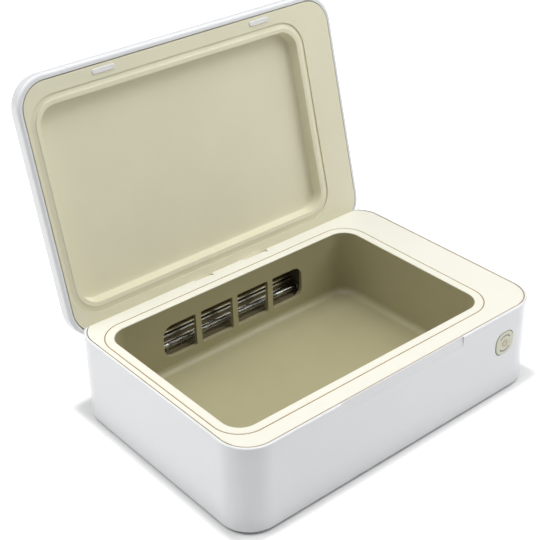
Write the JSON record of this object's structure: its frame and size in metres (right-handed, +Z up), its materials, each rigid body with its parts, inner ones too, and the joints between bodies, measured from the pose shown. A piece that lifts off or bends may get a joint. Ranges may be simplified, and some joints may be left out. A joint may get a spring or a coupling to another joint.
{
  "type": "uv sanitizer box for phones",
  "caption": "Tabletop ultraviolet sanitizer box: white shell, cream well with windowed lamps, hinged lid standing open and a sprung power button.",
  "frame": {"origin": "centre of the underside of the lower box, on the plane the feet stand on", "axes": "+X along the long side to the button end, +Y to the hinge at the back, +Z up"},
  "size_m": [0.2, 0.176, 0.1729],
  "materials": {
    "white_shell": "satin moulded ABS",
    "cream_plastic": "fine satin moulded ABS",
    "grey_plate": "matt moulded ABS",
    "rubber": "matt",
    "white_pad": "satin",
    "screw_steel": "plated",
    "hinge_steel": "ground",
    "circuit_board": "solder mask",
    "transformer": "taped winding on a dark core",
    "capacitor_can": "sleeved can",
    "black_chip": "matt",
    "connector_white": "matt",
    "ferrite": "matt",
    "copper_coil": "enamelled wire",
    "inlet_steel": "plated",
    "magnet": "plated",
    "reflector_sheet": "drawn bronze-toned sheet",
    "lamp_glass": "clear quartz",
    "lamp_metal": "bright",
    "holder_dark": "matt",
    "button_cream": "satin",
    "light_grey": "clear light strip, unlit"
  },
  "bodies": {
    "base": {"base_shell": "white_shell", "top_frame": "cream_plastic", "well_liner": "cream_plastic", "base_plate": "grey_plate", "rubber_feet": "rubber", "base_screws": "screw_steel", "main_board": "circuit_board", "board_screws": "screw_steel", "lamp_transformer": "transformer", "board_capacitors": "capacitor_can", "control_chip": "black_chip", "board_connectors": "connector_white", "ferrite_plate": "ferrite", "charging_coil": "copper_coil", "inlet_board": "circuit_board", "charging_inlet": "inlet_steel", "lid_sensor": "black_chip", "base_magnets": "magnet", "switch_board": "circuit_board", "push_switch": "black_chip", "switch_screws": "screw_steel", "rear_reflector": "reflector_sheet", "rear_lamp_tube": "lamp_glass", "rear_lamp_electrodes": "lamp_metal", "rear_lamp_caps": "lamp_metal", "rear_lamp_holders": "holder_dark", "front_reflector": "reflector_sheet", "front_lamp_tube": "lamp_glass", "front_lamp_electrodes": "lamp_metal", "front_lamp_caps": "lamp_metal", "front_lamp_holders": "holder_dark", "left_hinge_pin": "hinge_steel", "right_hinge_pin": "hinge_steel"},
    "lid": {"lid_shell": "white_shell", "lid_liner": "cream_plastic", "lid_pads": "white_pad", "lid_magnets": "magnet", "arm_screws": "screw_steel", "left_hinge_arm": "cream_plastic", "right_hinge_arm": "cream_plastic"},
    "button": {"power_button": "button_cream", "button_lights": "light_grey"}
  },
  "joints": [
    {"name": "lid_hinge", "type": "hinge", "parent": "base", "child": "lid", "pos_m": [0, 0.0625, 0.047], "axis": [-1, 0, 0], "range_deg": [-103.9, 0]},
    {"name": "button_press", "type": "slide", "parent": "base", "child": "button", "axis": [0, 1, 0], "range_m": [0, 0.0005], "stiffness_N_per_m": 800}
  ]
}
